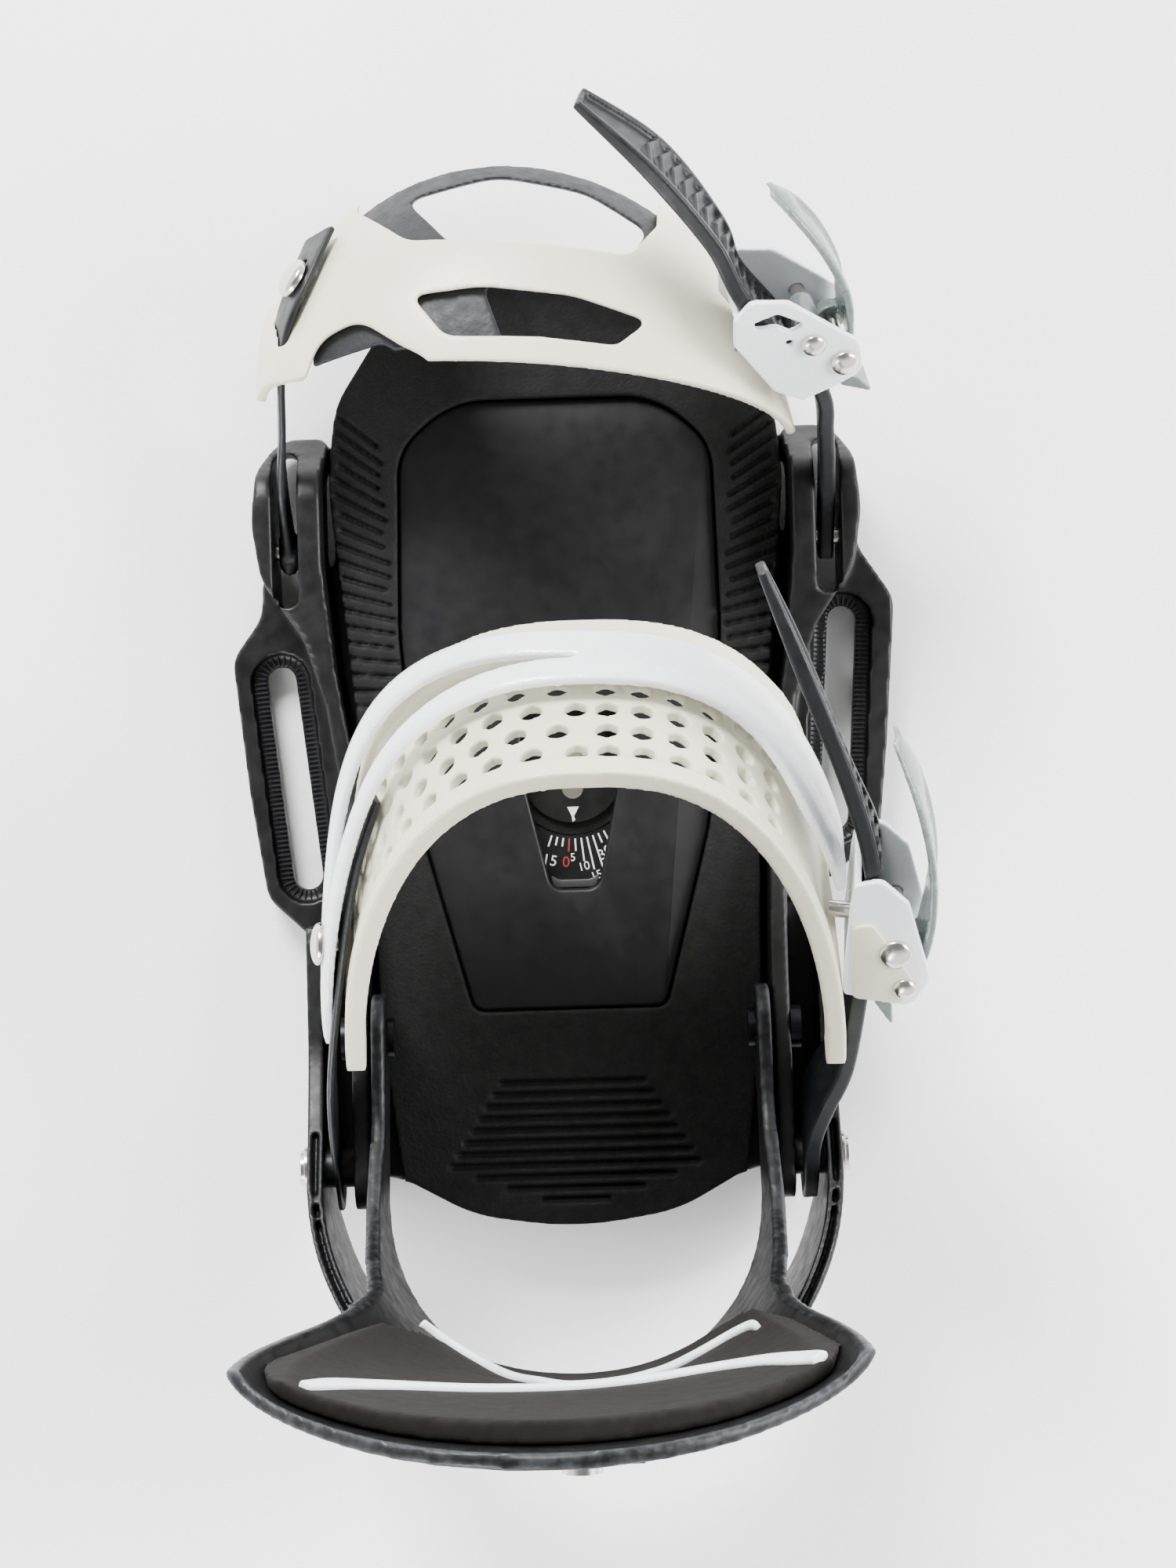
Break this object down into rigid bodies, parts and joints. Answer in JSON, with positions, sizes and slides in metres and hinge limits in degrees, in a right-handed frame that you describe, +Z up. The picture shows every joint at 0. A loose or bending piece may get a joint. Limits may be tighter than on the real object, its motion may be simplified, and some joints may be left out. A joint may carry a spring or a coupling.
{
  "type": "snowboard binding",
  "caption": "Right-foot strap binding for a snowboard: slotted base, padded footbed, heel hoop, folding highback, ratcheted ankle and toe straps.",
  "frame": {"origin": "on the board face, on the footbed's centreline, level with the middle of the sight window", "axes": "+X to the outer side of the right foot, +Y to the toe, +Z up from the board"},
  "size_m": [0.173, 0.3272, 0.243],
  "materials": {
    "black_nylon": "glass-filled nylon, satin black",
    "eva_foam": "textured black EVA foam",
    "panel_plastic": "smooth dark polycarbonate",
    "calf_foam": "soft brown-black foam",
    "white_trim": "white soft trim",
    "cream_rubber": "cream thermoplastic rubber, satin",
    "white_plastic": "white moulded plastic, glossy",
    "strap_rubber": "blue-grey flexible plastic",
    "steel": "stainless steel",
    "lever_alloy": "grey-green moulded plastic"
  },
  "bodies": {
    "base": {"baseplate": "black_nylon", "base_gasket": "eva_foam", "footbed_board": "panel_plastic", "footbed_cushion": "eva_foam", "toe_ramp": "eva_foam", "heel_hoop": "black_nylon", "hoop_screws": "steel", "scale_plate": "panel_plastic", "strap_bolts": "steel", "strap_bushes": "steel", "fold_bolts": "steel", "fold_nuts": "steel", "toe_pins": "steel"},
    "dial": {"stance_dial": "panel_plastic", "dial_stud": "steel"},
    "highback": {"highback_shell": "black_nylon", "highback_pad": "calf_foam", "highback_trim": "white_trim", "lean_rail": "black_nylon"},
    "lean_block": {"lean_block": "black_nylon", "lean_screw": "steel"},
    "ankle_strap": {"ankle_pad": "cream_rubber", "ankle_frame": "white_plastic", "ankle_connector": "strap_rubber", "ankle_bolt": "steel", "ankle_ladder": "strap_rubber", "ankle_buckle": "white_plastic", "ankle_lever_pin": "steel", "ankle_pawl_pin": "steel", "ankle_spring": "steel", "ankle_rivet": "steel"},
    "ankle_lever": {"ankle_lever": "lever_alloy"},
    "ankle_release": {"ankle_release": "lever_alloy"},
    "toe_strap": {"toe_cap": "cream_rubber", "toe_liner": "strap_rubber", "toe_connector": "strap_rubber", "toe_bolt": "steel", "toe_ladder": "strap_rubber", "toe_buckle": "white_plastic", "toe_lever_pin": "steel", "toe_pawl_pin": "steel", "toe_spring": "steel", "toe_rivet": "steel"},
    "toe_lever": {"toe_lever": "lever_alloy"},
    "toe_release": {"toe_release": "lever_alloy"}
  },
  "joints": [
    {"name": "stance_turn", "type": "hinge", "parent": "base", "child": "dial", "pos_m": [0.002, 0.0035, 0.004], "axis": [0, 0, 1], "range_deg": [-30, 30]},
    {"name": "highback_fold", "type": "hinge", "parent": "base", "child": "highback", "pos_m": [0, -0.062, 0.034], "axis": [-1, 0, 0], "range_deg": [0, 28]},
    {"name": "lean_adjust", "type": "slide", "parent": "highback", "child": "lean_block", "axis": [0, 0, 1], "range_m": [0, 0.016]},
    {"name": "ankle_strap_swing", "type": "hinge", "parent": "base", "child": "ankle_strap", "pos_m": [0, -0.094, 0.036], "axis": [1, 0, 0], "range_deg": [-4, 10]},
    {"name": "ankle_lever_open", "type": "hinge", "parent": "ankle_strap", "child": "ankle_lever", "pos_m": [0.08027, -0.04234, 0.08048], "axis": [0.0834, 0.5456, -0.8339], "range_deg": [0, 60], "stiffness_Nm_per_rad": 0.02, "springref_deg": -9.74},
    {"name": "ankle_release_lift", "type": "hinge", "parent": "ankle_strap", "child": "ankle_release", "pos_m": [0.07796, -0.03413, 0.08562], "axis": [-0.0834, -0.5456, 0.8339], "range_deg": [0, 12], "stiffness_Nm_per_rad": 0.03, "springref_deg": -9.74},
    {"name": "toe_strap_swing", "type": "hinge", "parent": "base", "child": "toe_strap", "pos_m": [0, 0.062, 0.015], "axis": [1, 0, 0], "range_deg": [-4, 25]},
    {"name": "toe_lever_open", "type": "hinge", "parent": "toe_strap", "child": "toe_lever", "pos_m": [0.06949, 0.10866, 0.06175], "axis": [-0.1226, 0.6921, -0.7113], "range_deg": [0, 60], "stiffness_Nm_per_rad": 0.02, "springref_deg": -9.74},
    {"name": "toe_release_lift", "type": "hinge", "parent": "toe_strap", "child": "toe_release", "pos_m": [0.06178, 0.11248, 0.06679], "axis": [0.1226, -0.6921, 0.7113], "range_deg": [0, 12], "stiffness_Nm_per_rad": 0.03, "springref_deg": -9.74}
  ]
}
